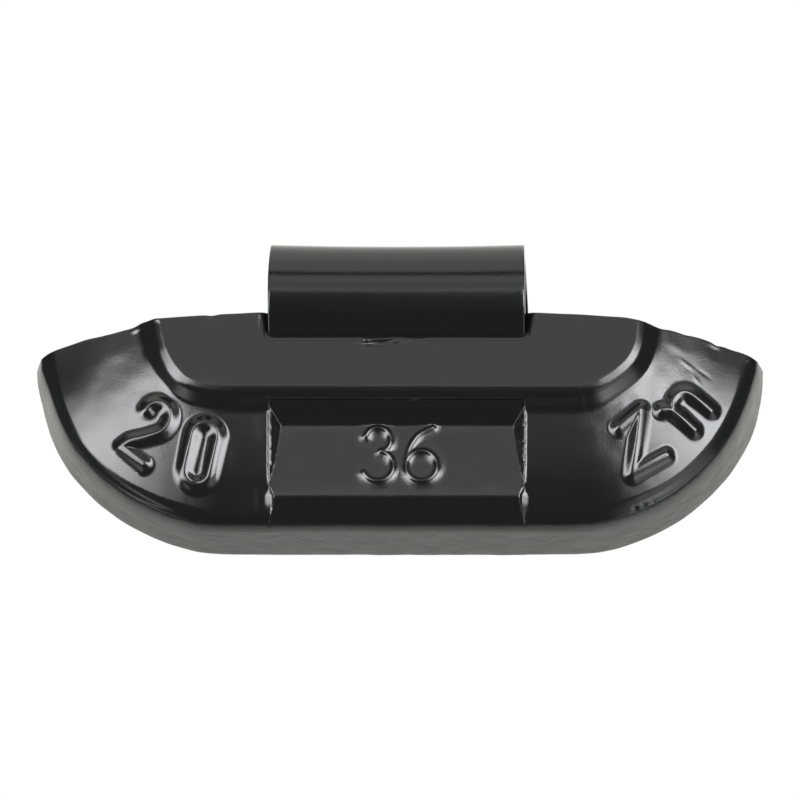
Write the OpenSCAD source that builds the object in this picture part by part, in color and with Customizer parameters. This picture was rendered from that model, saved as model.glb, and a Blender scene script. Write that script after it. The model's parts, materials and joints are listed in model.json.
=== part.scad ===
// Clip-on wheel balance weight: a die-cast zinc body with a spring-steel clip cast into it.
// The origin is on the axis of the clip's curl, +X runs along the weight, -Y is the visible
// face and +Z points out to the edge of the rim.

/* [Rim flange that the weight is made for] */
// Thickness of the flange's lip, which the curl of the clip closes round
lip_t = 3.2; // [2.6:0.1:3.6]
// Radius of the flange's roll on the tyre side
flange_r = 9.5; // [9:0.1:11]
// Radius of the wheel at the top of the body
wheel_r = 195; // [160:5:240]
// Clearance between the body and the inside of the flange
nest_gap = 0.2; // [0.1:0.05:0.5]

/* [Body outline] */
// Half the distance between the centres of the round ends
end_x = 10.6; // [9:0.1:14]
// Height of those centres above the brow, the line where the face starts to fall away
end_z = 4.9; // [4.5:0.1:5.6]
// How far the face falls below the brow, down to its lower edge
face_drop = 6.3; // [5.8:0.1:7]
// Where the sloped tops of the wings start, from the middle
wing_x = 16.4; // [16:0.1:18]
// How far the tops of the wings start below the top of the body
wing_step = 0.95; // [0.6:0.05:1.1]
// Slope of the tops of the wings
wing_slope = 10.4; // [6:0.2:14]

/* [Body section] */
// Radius of the convex face
face_r = 9.6; // [8.6:0.1:12]
// Depth of the side wall behind the face
wall_depth = 4.2; // [3.6:0.1:4.8]
// How far the side wall flares towards the back
wall_flare = 0.75; // [0.3:0.05:1.1]

/* [Pad] */
// How far the pad stands out in front of the wings
pad_proud = 0.9; // [0.6:0.05:1.2]
// Height of the pad's lower edge above the brow
pad_foot = 1.5; // [1.3:0.1:2]
// Height of the pad, up to the top of the body
pad_h = 4.95; // [4.6:0.05:5.1]
// Radius of the pad's lower corners
pad_corner_r = 3.3; // [2.5:0.1:3.6]
// From the middle to the centre of the left lower corner
pad_left = 10.5; // [9.6:0.1:11.2]
// From the middle to the centre of the right lower corner
pad_right = 10.7; // [9.8:0.1:11.4]
// How far the top corners reach past the centres of the lower ones
pad_horn = 3.8; // [3.4:0.1:4.1]

/* [Panel] */
// Width of the sunk panel at its floor
panel_w = 13.7; // [11:0.1:14.5]
// Depth of the panel's floor behind the wings
panel_depth = 0.95; // [0.7:0.05:1.1]
// Height of the panel's floor
panel_h = 4.5; // [4.2:0.1:4.8]
// Slope of the panel's side walls, from the face
panel_slope = 45; // [40:1:60]
// How far the panel's top wall starts in front of the wings, on the step below the pad
panel_lip = 0.13; // [0.05:0.01:0.2]

/* [Clip] */
// Width of the clip
clip_w = 15.7; // [13:0.1:17]
// Thickness of the strip
strip_t = 0.95; // [0.7:0.05:1.1]
// Forward lean of the clip between the body and the curl
clip_lean = 33; // [28:1:36]
// Depth of the curl's axis behind the face of the pad
curl_back = 1.45; // [1.3:0.05:1.6]
// Depth of the cast-in leg behind the face of the pad
leg_depth = 1.95; // [1.8:0.05:2.1]
// Length of the cast-in leg below its bend
leg_run = 2.5; // [2.4:0.05:2.6]
// Radius of the bend at the top of the leg, at the middle of the strip
bend_r = 1.6; // [1.3:0.1:1.9]
// Key holes in the cast-in leg
key_d = 2.2; // [1.6:0.1:2.4]
// Distance between the key holes
key_pitch = 4.8; // [3.5:0.1:5.4]
// How far the curl goes on past its top before the strip follows the flange
curl_past = 5; // [3:1:12]
// How much tighter than the flange the tail of the clip is bent
tail_grip = 0.7; // [0.3:0.1:1]
// Angle that the tail covers over the flange
tail_sweep = 50; // [40:1:56]

/* [Notch] */
// Gap beside the clip where the pad is cut away for it
notch_side = 0.25; // [0.15:0.05:0.5]
// Depth of the notch below the top of the body
notch_drop = 1.65; // [1.3:0.05:1.9]
// Radius of the notch's lower corners
notch_r = 0.6; // [0.3:0.1:1]

/* [Raised marks] */
// Height of the large marks
mark_h = 0.4; // [0.2:0.05:0.5]
// Width of a stroke of the large marks
mark_w = 0.95; // [0.6:0.05:1.1]
// Height of the small figures on the panel
fig_h = 0.25; // [0.15:0.05:0.35]
// Width of a stroke of the small figures
fig_w = 0.3; // [0.2:0.05:0.4]

/* [Hidden] */
$fn = 96;

// Cuts and half-spaces reach this far past what they cut
past = 1;
far = 12;
// Angle by which a bend runs into the straight beside it
lap_a = 2;

// Section of the flange's roll, which the back of the body nests in
nest_r = flange_r - lip_t - nest_gap;
body_top = pad_foot + pad_h;
curl_z = body_top + nest_gap + lip_t / 2;

// Depths behind the face of the pad
edge_y = pad_proud + face_r - sqrt(face_r * face_r - face_drop * face_drop);
back_y = edge_y + wall_depth;
edge_r = end_z + face_drop;

// Panel
panel_y = pad_proud + panel_depth;
panel_run = panel_depth / tan(panel_slope);
panel_open_w = panel_w + 2 * panel_run;
panel_foot = -face_drop + (edge_y - panel_y);
panel_head = panel_foot + panel_h;
panel_head_run = 1.2;

// Clip
curl_in = lip_t / 2;
curl_mid = curl_in + strip_t / 2;
curl_out = curl_in + strip_t;
leg_y = leg_depth - curl_back;
lean_len = (leg_y - bend_r + (bend_r + curl_mid) * cos(clip_lean)) / sin(clip_lean);
bend_z = -(bend_r + curl_mid) * sin(clip_lean) - lean_len * cos(clip_lean);
leg_end = curl_z + bend_z - leg_run;
tail_mid = flange_r - tail_grip + strip_t / 2;
notch_z = body_top - notch_drop;

// Everything above is given from the pad's face and the brow; this puts it on the curl's axis
module on_curl_axis() {
    translate([0, -curl_back, -curl_z]) children();
}

// Turns a drawing of the YZ plane into a solid w wide along X, centred
module across(w) {
    rotate([90, 0, 90]) linear_extrude(height = w, center = true) children();
}

// Turns a drawing of the front view into a solid from y0 back to y1
module through(y0, y1) {
    translate([0, y1, 0]) rotate([90, 0, 0]) linear_extrude(height = y1 - y0) children();
}

// Ring segment from angle a0 to a1, less than half a turn
module sector(r0, r1, a0, a1) {
    reach = 2 * r1;
    mid = (a0 + a1) / 2;
    intersection() {
        difference() {
            circle(r = r1);
            circle(r = r0);
        }
        polygon([
            [0, 0],
            reach * [cos(a0), sin(a0)],
            reach * [cos(mid), sin(mid)],
            reach * [cos(a1), sin(a1)]
        ]);
    }
}

// Straight stroke with round ends
module bar(p, q, w) {
    d = q - p;
    translate(p) circle(d = w);
    translate(q) circle(d = w);
    translate(p) rotate(atan2(d[1], d[0])) translate([0, -w / 2]) square([norm(d), w]);
}

// Curved stroke, less than half a turn
module bend(c, r, a0, a1, w) {
    translate(c) sector(r - w / 2, r + w / 2, a0, a1);
}

// Section of the body outwards from an end centre: x is the radius, y the depth.
// The face is raised by lift, which the raised marks use.
module body_section(lift) {
    front_r = edge_r - wall_flare * edge_y / wall_depth;
    intersection() {
        union() {
            translate([0, pad_proud - lift]) square([end_z, back_y]);
            translate([end_z, pad_proud + face_r]) circle(r = face_r + lift);
        }
        polygon([[0, 0], [front_r, 0], [edge_r + wall_flare, back_y], [0, back_y]]);
    }
}

// Middle stretch and two round ends
module body_form(lift) {
    translate([-end_x, 0, end_z]) rotate([0, 90, 0])
        linear_extrude(height = 2 * end_x) body_section(lift);
    translate([-end_x, pad_proud - lift, end_z])
        cube([2 * end_x, back_y - pad_proud + lift, far]);
    for (side = [-1, 1]) {
        translate([side * end_x, 0, end_z]) rotate([-90, 0, 0])
            rotate_extrude() body_section(lift);
    }
}

// Space under the flange: everything inside its roll, swept round the wheel's axis
module under_flange() {
    span = 16;
    translate([0, 0, body_top - wheel_r]) rotate([-90, 0, 0]) rotate([0, 0, -90 - span / 2])
        rotate_extrude(angle = span, $fn = 720) {
            translate([wheel_r - 2 * far, -past]) square([2 * far, curl_back + past]);
            translate([wheel_r - 2 * far, -past]) square([2 * far - nest_r, 2 * far]);
            intersection() {
                translate([wheel_r - nest_r, curl_back]) circle(r = nest_r);
                translate([wheel_r - far, curl_back]) square([far, far]);
            }
        }
}

// Sloped tops of the two wings
module wing_tops() {
    start_z = body_top - wing_step;
    for (side = [-1, 1]) {
        translate([side * wing_x, -far, start_z]) rotate([0, side * wing_slope, 0])
            translate([side > 0 ? 0 : -far, 0, 0]) cube([far, 3 * far, far]);
    }
}

// Corner of the pad, with walls at 45 degrees
module pad_corner(x, z, r) {
    translate([x, pad_proud, z]) rotate([90, 0, 0])
        cylinder(h = pad_proud, r1 = r + pad_proud, r2 = r, $fn = 48);
}

// The flat pad on the upper half of the face
module pad() {
    corner_z = pad_foot + pad_corner_r;
    horn_r = 0.3;
    hull() {
        pad_corner(-pad_left, corner_z, pad_corner_r);
        pad_corner(pad_right, corner_z, pad_corner_r);
        pad_corner(-pad_left - pad_horn, body_top, horn_r);
        pad_corner(pad_right + pad_horn, body_top, horn_r);
    }
    translate([-pad_left, pad_proud, corner_z])
        cube([pad_left + pad_right, past, body_top - corner_z]);
}

// Space in front of the panel's floor
module panel_cut() {
    open_y = pad_proud - panel_lip;
    lead = panel_y - open_y;
    across(panel_open_w) polygon([
        [panel_y, -far],
        [panel_y, panel_head],
        [open_y, panel_head + panel_head_run * lead],
        [open_y, -far]
    ]);
}

// Wedges of zinc left standing as the panel's side walls
module panel_sides() {
    for (side = [-1, 1]) {
        translate([0, 0, panel_foot]) linear_extrude(height = panel_h + panel_head_run) polygon([
            [side * panel_open_w / 2, pad_proud],
            [side * panel_w / 2, panel_y],
            [side * panel_open_w / 2, panel_y]
        ]);
    }
}

// Lower part of the panel, which stands out where the face has fallen behind it
module panel_block() {
    across(panel_open_w) polygon([
        [panel_y, panel_head - past],
        [panel_y, panel_foot],
        [edge_y, -face_drop],
        [edge_y + past, -face_drop],
        [edge_y + past, panel_head - past]
    ]);
}

// Strip of the clip, drawn in the YZ plane round the curl's axis
module clip_profile() {
    lean_foot = [leg_y - bend_r * (1 - cos(clip_lean)), bend_z + bend_r * sin(clip_lean)];
    tail_start = 90 - curl_past;
    tail_c = (curl_mid - tail_mid) * [cos(tail_start), sin(tail_start)];
    sector(curl_in, curl_out, tail_start - lap_a, 180 + clip_lean + lap_a);
    translate(tail_c)
        sector(tail_mid - strip_t / 2, tail_mid + strip_t / 2, tail_start - tail_sweep, tail_start);
    translate(lean_foot) rotate(clip_lean) translate([-strip_t / 2, 0])
        square([strip_t, lean_len]);
    translate([leg_y - bend_r, bend_z])
        sector(bend_r - strip_t / 2, bend_r + strip_t / 2, -lap_a, clip_lean + lap_a);
    translate([leg_y - strip_t / 2, leg_end - curl_z])
        square([strip_t, bend_z + curl_z - leg_end]);
}

// Key holes across the cast-in leg
module key_holes() {
    key_z = (leg_end + bend_z + curl_z) / 2;
    for (i = [-1, 0, 1]) {
        translate([i * key_pitch, 0, key_z]) rotate([-90, 0, 0])
            cylinder(h = 2 * leg_depth, d = key_d);
    }
}

// Solid of the clip, on the curl's axis
module clip_solid() {
    difference() {
        across(clip_w) clip_profile();
        on_curl_axis() key_holes();
    }
}

// Notch in the pad in front of the clip and beside it
module notch() {
    half_w = clip_w / 2 + notch_side;
    back_line = curl_back - curl_in / cos(clip_lean);
    intersection() {
        through(-far, far) {
            translate([-half_w, notch_z + notch_r]) square([2 * half_w, far]);
            translate([-half_w + notch_r, notch_z]) square([2 * (half_w - notch_r), far]);
            for (side = [-1, 1]) {
                translate([side * (half_w - notch_r), notch_z + notch_r]) circle(r = notch_r);
            }
        }
        across(3 * clip_w) polygon([
            [-far, notch_z - past],
            [back_line + (curl_z - notch_z + past) * tan(clip_lean), notch_z - past],
            [back_line, curl_z],
            [-far, curl_z]
        ]);
    }
}

// Strokes of the nominal mass on the left wing
module mass_strokes() {
    bend([-14.5, 0], 0.75, -40, 70, mark_w);
    bend([-14.5, 0], 0.75, 70, 180, mark_w);
    bar([-14, -0.6], [-16.75, -1.7], mark_w);
    bar([-16.75, -1.7], [-15.3, -2.95], mark_w);
    translate([-11.75, -2.3]) rotate(-14) {
        bend([0, 0.95], 0.85, 0, 90, mark_w);
        bend([0, 0.95], 0.85, 90, 180, mark_w);
        bend([0, -0.95], 0.85, 180, 270, mark_w);
        bend([0, -0.95], 0.85, 270, 360, mark_w);
        bar([-0.85, -0.95], [-0.85, 0.95], mark_w);
        bar([0.85, -0.95], [0.85, 0.95], mark_w);
    }
}

// Strokes of the chemical sign of zinc on the right wing
module metal_strokes() {
    bar([13.5, -0.7], [14.8, 0.45], mark_w);
    bar([14.8, 0.45], [14.2, -3.5], mark_w);
    bar([14.2, -3.5], [16.3, -2.3], mark_w);
    bar([16.3, 0.65], [16.7, 0.35], mark_w);
    bar([16.7, 0.35], [18.05, -0.65], mark_w);
    bend([17.45, 1.0], 0.7, 50, 205, mark_w);
    bar([17.9, 1.5], [19.05, 0.6], mark_w);
}

// Thin figures of a plain number on the panel: a three and a six
module panel_strokes() {
    bend([-1.15, -1.35], 0.75, -90, 45, fig_w);
    bend([-1.15, -1.35], 0.75, 45, 160, fig_w);
    bend([-1.15, -2.95], 0.85, -160, -30, fig_w);
    bend([-1.15, -2.95], 0.85, -30, 90, fig_w);
    bend([1.6, -2.9], 0.9, -90, 90, fig_w);
    bend([1.6, -2.9], 0.9, 90, 270, fig_w);
    bend([2.6, -2.9], 1.9, 120, 180, fig_w);
}

// Marks stand on the face at an even height, whatever the face does under them
module raised_marks() {
    intersection() {
        through(-past, back_y - past) {
            mass_strokes();
            metal_strokes();
        }
        body_form(mark_h);
    }
    through(panel_y - fig_h, panel_y + fig_h) panel_strokes();
}

// Die-cast zinc body, cast round the leg of the clip
module weight() {
    color([0.09, 0.1, 0.1]) difference() {
        on_curl_axis() {
            intersection() {
                union() {
                    difference() {
                        union() {
                            body_form(0);
                            pad();
                        }
                        panel_cut();
                    }
                    intersection() {
                        panel_sides();
                        body_form(0);
                    }
                    panel_block();
                    raised_marks();
                }
                under_flange();
            }
        }
        on_curl_axis() wing_tops();
        on_curl_axis() notch();
        clip_solid();
    }
}

// Bent spring-steel strip
module clip() {
    color([0.1, 0.11, 0.11]) clip_solid();
}

weight();
clip();
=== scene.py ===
import json
import math
import bpy
import bmesh
import numpy as np
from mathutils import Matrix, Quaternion, Vector
from mathutils.geometry import delaunay_2d_cdt

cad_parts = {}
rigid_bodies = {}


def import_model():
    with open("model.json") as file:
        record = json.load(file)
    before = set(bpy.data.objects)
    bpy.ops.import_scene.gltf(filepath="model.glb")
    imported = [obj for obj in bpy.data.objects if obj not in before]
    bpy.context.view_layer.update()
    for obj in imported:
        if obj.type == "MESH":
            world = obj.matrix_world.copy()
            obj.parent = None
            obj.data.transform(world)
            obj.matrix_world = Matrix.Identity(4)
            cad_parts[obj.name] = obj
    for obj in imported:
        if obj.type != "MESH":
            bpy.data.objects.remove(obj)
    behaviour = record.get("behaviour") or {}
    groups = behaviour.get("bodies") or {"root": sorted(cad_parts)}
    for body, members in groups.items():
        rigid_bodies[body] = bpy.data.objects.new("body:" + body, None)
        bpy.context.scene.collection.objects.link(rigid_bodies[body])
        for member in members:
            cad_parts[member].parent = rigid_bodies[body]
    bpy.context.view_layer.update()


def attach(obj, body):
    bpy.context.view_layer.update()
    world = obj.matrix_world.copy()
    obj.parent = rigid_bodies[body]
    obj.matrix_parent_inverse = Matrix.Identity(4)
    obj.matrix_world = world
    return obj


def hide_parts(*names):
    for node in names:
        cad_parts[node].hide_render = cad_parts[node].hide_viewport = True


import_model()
print("frame loaded")

# Sizes below are in millimetres, as the part is drawn: x along the weight, y behind the
# face of the pad, z above the brow where the face starts to fall away.

bodyForm = dict(
    endX=10.6,  # centres of the round ends
    endZ=4.9,
    faceDrop=6.52,  # from the brow to the lower edge of the face
    edgeY=3.6,  # depth of the face at its lower edge
    wallDepth=3.84,
    wallFlare=0.61,
    lowFlareCut=0.03,  # less flare along the lower edge
    wallLeast=0.3,  # least run of the wall from front to back
    topZ=6.45,
    wheelR=195.0,
    wingStart=12.5,  # beyond this the top leaves the wheel's circle
    wingLift=0.12,
    nestR=6.1,
    curlBack=1.45,  # axis of the clip's curl behind the pad's face
    curlZ=8.25,
)
backY = bodyForm["edgeY"] + bodyForm["wallDepth"]
nestTurn = math.asin((backY - bodyForm["curlBack"]) / bodyForm["nestR"])

panelForm = dict(
    half=7.75,
    floor=1.85,
    head=-0.41,  # where the floor meets the top wall
    headRun=1.2,
    foot=-4.9,  # where the floor turns into the lower bevel
    lip=0.77,  # depth where the top wall ends
    split=-3.0,  # the top wall's blend holds above this
    proudSlope=5.0,
    burr=0.09,  # how far the edges of the side walls stand proud, and how uneven they are
    ragged=0.025,
    raggedCell=0.16,
    raggedFoot=-4.4,
    swell=0.02,  # how far the floor rises at its head and sinks at its foot
    flashSlope=0.4,
    flashEnd=4,  # slope where the flash ends
    flashOut=0.27,  # how far its lens reaches out of and into the panel
    flashIn=0.2,
    flashTop=-4.35,
    flashHead=4.3,  # the lens lies between these depths below the brow, the burr above both
    flashFoot=6.3,
)

padForm = dict(
    slope=1.25,
    foot=0.26,  # how far outside the pad's line its wall starts
    edge=0.42,  # rounding of the pad's edge, and the fillet at the foot of its wall
    fillet=0.25,
    partingZ=0.97,  # fine line of the mould across the pad
    partingHalf=7.4,
    partingWidth=0.035,
    partingHeight=0.004,
)

faceWaves = [(0.012, 2.6, 3), (0.006, 0.8, 4)]  # height, size and seed

notchForm = dict(half=7.93, floorZ=4.84, corner=0.55, wall=1.7, lip=0.9)

padLine = [  # edge of the pad, left horn to right horn
    (-14.5, 6.6), (-14.41, 5.27), (-14.23, 4.51), (-14.05, 3.88), (-13.72, 3.22), (-13.33, 2.66),
    (-12.9, 2.2), (-12.29, 1.86), (-11.5, 1.67), (-10.35, 1.55), (-8.8, 1.53), (0.0, 1.51),
    (9.9, 1.5), (11.15, 1.56), (12.0, 1.74), (12.73, 2.15), (13.46, 2.7), (13.95, 3.19),
    (14.31, 3.78), (14.54, 4.51), (14.63, 5.27), (14.66, 6.6),
]


def softMin(a, b, k):
    # the lower of two surfaces, with a fillet k wide where they cross
    h = np.maximum(k - np.abs(a - b), 0.0) / k
    return np.minimum(a, b) - h * h * k / 4


def softMax(a, b, k):
    # the higher of two surfaces, with the same fillet
    return -softMin(-a, -b, k)


def ease(x):
    # from 0 to 1 with level ends: 3x^2 - 2x^3
    x = np.clip(x, 0, 1)
    return x * x * (3 - 2 * x)


def arcLine(cx, cz, r, a0, a1, n=24):
    # points at even angles on a circle, degrees
    a = np.radians(np.linspace(a0, a1, n))
    return np.stack([cx + r * np.cos(a), cz + r * np.sin(a)], 1)


def smoothLine(points, steps=8):
    # Catmull-Rom curve through the points: each stretch is a cubic of its four neighbours
    p = np.asarray(points, float)
    q = np.vstack([2 * p[0] - p[1], p, 2 * p[-1] - p[-2]])
    t = np.linspace(0, 1, steps, endpoint=False)[None, :, None]
    a, b, c, d = (q[i:len(q) - 3 + i][:, None, :] for i in range(4))
    curve = 0.5 * (2 * b + (c - a) * t + (2 * a - 5 * b + 4 * c - d) * t ** 2
                   + (3 * b - a - 3 * c + d) * t ** 3)
    return np.vstack([curve.reshape(-1, 2), p[-1:]])


def lineDistance(x, z, line):
    # distance from each point to the nearest stretch of a line
    best = np.full(x.shape, 1e9)
    for a, b in zip(line[:-1], line[1:]):
        d = b - a
        t = np.clip(((x - a[0]) * d[0] + (z - a[1]) * d[1]) / max(d @ d, 1e-12), 0, 1)
        best = np.minimum(best, np.hypot(x - a[0] - t * d[0], z - a[1] - t * d[1]))
    return best


def signedDistance(x, z, loop):
    # distance to a closed loop, negative inside, by counting crossings of a level ray
    closed = np.vstack([loop, loop[:1]])
    inside = np.zeros(x.shape, bool)
    for a, b in zip(closed[:-1], closed[1:]):
        if a[1] == b[1]:
            continue
        cross = (a[1] > z) != (b[1] > z)
        inside ^= cross & (x < (b[0] - a[0]) * (z - a[1]) / (b[1] - a[1]) + a[0])
    return np.where(inside, -1.0, 1.0) * lineDistance(x, z, closed)


def softNoise(x, z, cell, seed):
    # smooth value noise: random heights on a square lattice, eased between its points
    lattice = np.random.RandomState(seed).uniform(-1, 1, (97, 97))
    u, v = x / cell + 400.0, z / cell + 400.0
    i, j = np.floor(u).astype(int), np.floor(v).astype(int)
    fu, fv = u - i, v - j
    fu, fv = fu * fu * (3 - 2 * fu), fv * fv * (3 - 2 * fv)
    i, j = i % 96, j % 96
    low = lattice[i, j] * (1 - fu) + lattice[i + 1, j] * fu
    high = lattice[i, j + 1] * (1 - fu) + lattice[i + 1, j + 1] * fu
    return low * (1 - fv) + high * fv


marks = dict(
    height=0.32,
    crest=0.27,
    foot=0.2,
    figureHeight=0.15,
    figureCrest=0.06,
    figureFoot=0.06,
    figureSwell=0.05,  # the panel rises a little round the figures
    swellWidth=0.4,
)

markLines = [
    smoothLine([(-15.2, 0.45), (-15.0, 0.66), (-14.62, 0.82), (-14.1, 0.7), (-13.78, 0.25),
                (-13.83, -0.38), (-14.3, -0.95), (-15.3, -1.28), (-16.2, -1.45), (-16.76, -1.76)]),
    smoothLine([(-16.76, -1.76), (-16.1, -2.3), (-15.35, -2.87)]),
    np.array([(13.5, -0.7), (14.8, 0.43)]),
    smoothLine([(14.8, 0.43), (14.6, -1.38), (14.3, -3.45)]),
    np.array([(14.3, -3.45), (16.35, -2.28)]),
    smoothLine([(16.1, 0.42), (16.75, 0.36), (18.05, -0.66)]),
    smoothLine([(16.75, 0.36), (16.77, 0.97), (17.1, 1.43), (17.5, 1.56), (17.9, 1.42),
                (18.5, 1.0), (19.05, 0.58)]),
]


def ovalLine(cx, cz, halfW, halfH, tilt, n=48):
    # closed oval with straight sides and round ends, leaning by tilt degrees
    a = np.concatenate([np.linspace(0, np.pi, n // 2), np.linspace(np.pi, 2 * np.pi, n // 2), [0]])
    u = halfW * np.cos(a)
    v = halfW * np.sin(a) + (halfH - halfW) * np.where(np.arange(len(a)) < n // 2, 1, -1)
    v[-1] = v[0]
    t = math.radians(tilt)
    x = cx + u * math.cos(t) + v * math.sin(t)
    return np.stack([x, cz - u * math.sin(t) + v * math.cos(t)], 1)


markLines.append(ovalLine(-11.88, -2.3, 0.8, 1.86, 12.5))

figureLines = [
    arcLine(-1.15, -1.35, 0.78, 160, -70),
    arcLine(-1.15, -2.98, 0.95, 80, -155),
    arcLine(1.5, -2.98, 0.95, 0, 360, 36),
    smoothLine([(0.56, -2.9), (0.75, -1.9), (1.3, -1.05), (2.15, -0.58)]),
]


faults = [  # casting faults on the face: place, half length and width, turn in degrees, height
    (-15.6, 5.6, 0.4, 0.17, 18, 0.05),
    (-14.75, 5.9, 0.3, 0.25, -30, 0.08),
    (-15.95, 5.42, 0.3, 0.12, 18, 0.02),
    (-15.05, 5.72, 0.16, 0.12, 60, 0.05),
    (-11.2, 5.85, 0.3, 0.4, 0, -0.05),
    (-0.95, 4.3, 0.95, 0.15, 6, -0.1),
    (-0.95, 4.52, 0.9, 0.1, 5, 0.05),
    (0.95, 4.5, 0.7, 0.14, -6, 0.04),
    (-1.95, 4.55, 0.25, 0.12, -20, 0.05),
    (14.45, -5.3, 0.12, 0.1, 0, -0.1),
    (15.0, -5.05, 0.1, 0.08, 20, -0.08),
    (15.55, -4.85, 0.09, 0.12, 0, -0.06),
    (17.6, 3.3, 0.5, 0.08, -35, 0.012),
    (18.6, 2.8, 0.45, 0.07, -32, -0.014),
    (18.2, 2.35, 0.3, 0.09, -50, 0.012),
    (19.2, 4.35, 0.35, 0.22, -20, -0.03),
    (16.9, 4.4, 0.9, 0.3, -30, 0.008),
    (-17.3, 3.9, 1.4, 0.5, 30, 0.006),
    (-19.2, 2.6, 0.7, 1.0, 20, -0.008),
    (-12.2, -6.0, 0.2, 0.12, 30, -0.06),
]

topFaults = [  # nicks and steps of the top edge: place, half width, height
    (-15.65, 0.3, 0.1), (-11.25, 0.3, -0.07), (16.6, 0.35, 0.04), (17.5, 0.25, -0.05),
    (19.3, 0.14, -0.07), (19.8, 0.25, 0.05), (20.5, 0.2, -0.04),
]


def faultHeight(x, z):
    # each fault is a small turned bell: height * exp(-(u / a)^2 - (v / b)^2)
    total = np.zeros_like(x)
    for cx, cz, a, b, turn, height in faults:
        t = math.radians(turn)
        u = (x - cx) * math.cos(t) + (z - cz) * math.sin(t)
        v = (z - cz) * math.cos(t) - (x - cx) * math.sin(t)
        total += height * np.exp(-(u / a) ** 2 - (v / b) ** 2)
    return total


faceTilt = dict(  # tilt of the face in degrees, at distances from an end's centre
    distance=[2.4, 3.2, 4.9, 6.1, 7.15, 7.8, 8.35, 8.85, 9.3, 10.1, 10.6, 10.95, 11.3, 14],
    tilt=[0, 6.6, 7, 7.6, 9.3, 12, 15.5, 22, 25, 28, 31, 44, 50, 53],
    reach=14,
    points=2801,
    blur=20,  # in points
)


def faceProfile():
    # depth of the face against distance from an end centre: the tilts, joined by straight
    # stretches and blurred, give the slope, and the depth is the running sum of the slope
    p = faceTilt
    r = np.linspace(0, p["reach"], p["points"])
    tilt = np.interp(r, p["distance"], p["tilt"])
    more = 3 * p["blur"]
    w = np.exp(-0.5 * (np.arange(-more, more + 1) / p["blur"]) ** 2)
    tilt = np.convolve(np.r_[[tilt[0]] * more, tilt, [tilt[-1]] * more], w / w.sum(), "valid")
    y = np.cumsum(np.tan(np.radians(tilt))) * (r[1] - r[0])
    y += bodyForm["edgeY"] - np.interp(bodyForm["endZ"] + bodyForm["faceDrop"], r, y)
    return r, y


profileR, profileY = faceProfile()

leftSlack = smoothLine([
    (0, 0), (6, 0.09), (9, 0.18), (14, 0.36), (20.6, 0.37), (27.6, 0.34), (35, 0.31),
    (43, 0.33), (52, 0.31), (62, 0.28), (72, 0.19), (80, 0.08), (90, 0)])
rightSlack = smoothLine([
    (0, -0.12), (3, -0.06), (6, 0.07), (9, 0.14), (14, 0.21), (20.6, 0.26), (27.6, 0.26),
    (35, 0.24), (45, 0.27), (52, 0.24), (62, 0.21), (70, 0.16), (80, 0.06), (90, 0)])


def endSlack(x, angle):
    # how far an end lies inside its circle, by the angle below the end's centre
    left, right = (np.interp(angle, line[:, 0], line[:, 1]) for line in (leftSlack, rightSlack))
    return np.where(x < 0, left, right)


def wingDepthAt(x, z):
    # convex face: one profile, drawn along the middle and turned round each end centre
    f = bodyForm
    out = np.maximum(np.abs(x) - f["endX"], 0)
    r = np.where(out > 0, np.hypot(out, z - f["endZ"]), np.maximum(f["endZ"] - z, 0))
    dip = endSlack(x, np.degrees(np.arctan2(f["endZ"] - z, out))) * np.clip(out, 0, 1)
    return np.interp(r + dip * np.clip((r - 10.3) / 0.5, 0, 1), profileR, profileY)


def stripDepthAt(z):
    # middle of the clip's strip where it leans out of the body
    return 1.12 - (z - 4.8) * 0.65


def ridgeHeight(d, height, crest, foot):
    # ridge along a line: straight flanks at about 46 degrees, a round crest and a fillet
    flank = height - 1.05 * (np.sqrt(d * d + crest * crest) - crest)
    return softMax(np.zeros_like(d), flank, foot)


padLoop = np.vstack([smoothLine(padLine), [(14.66, 9.0), (-14.5, 9.0)]])


def middleDepthAt(z):
    # depth of the face over its middle, where it doesn't change along x
    return wingDepthAt(np.zeros_like(z), z)


def panelDepth(x, z, depth, wing):
    # the sunk panel: a floor that rises at its head, sinks at its foot and turns into the
    # lower bevel, side walls with a burr along them, a slanting top wall, and a lens of
    # flash beside the bevel
    q = panelForm
    rough = q["ragged"] * softNoise(np.sign(x), z, q["raggedCell"], 5)
    edge = q["half"] - np.abs(x) + rough * (z > q["raggedFoot"])
    middle = (q["head"] + q["foot"]) / 2
    swell = q["swell"] * np.clip((z - middle) / (q["head"] - middle), -1.2, 1.2) ** 9
    floor = np.maximum(q["floor"] - swell, q["floor"] + q["foot"] - z)
    burr = ease((z + q["flashHead"]) / 0.8) * ease((0.8 - z) / 0.3) * q["burr"]
    panel = np.maximum(floor, wing - q["proudSlope"] * edge)
    panel = np.minimum(panel, wing - burr + np.maximum(edge, 0))
    lens = ease((-q["flashHead"] - z) / 0.5) * ease((z + q["flashFoot"]) / 1.2)
    rise = q["flashSlope"] * np.maximum(edge + q["flashOut"] * lens, 0)
    rise = rise + q["flashEnd"] * np.maximum(edge - q["flashIn"] * lens, 0)
    flash = softMax(floor, wing - rise, 0.06)
    topWall = q["floor"] - (z - q["head"]) / q["headRun"]
    sunk = softMax(depth, softMin(panel, topWall, 0.015), 0.03)
    upper, inside = z > q["split"], edge > 0
    depth = np.where(inside & upper & (topWall > q["lip"]), sunk, depth)
    depth = np.where(inside & ~upper, panel, depth)
    depth = np.where((edge > -0.8) & (z < q["flashTop"]), softMin(wing, flash, 0.05), depth)
    return depth - np.where(edge <= 0, burr * np.clip(1 + edge / 0.1, 0, 1), 0)


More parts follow.
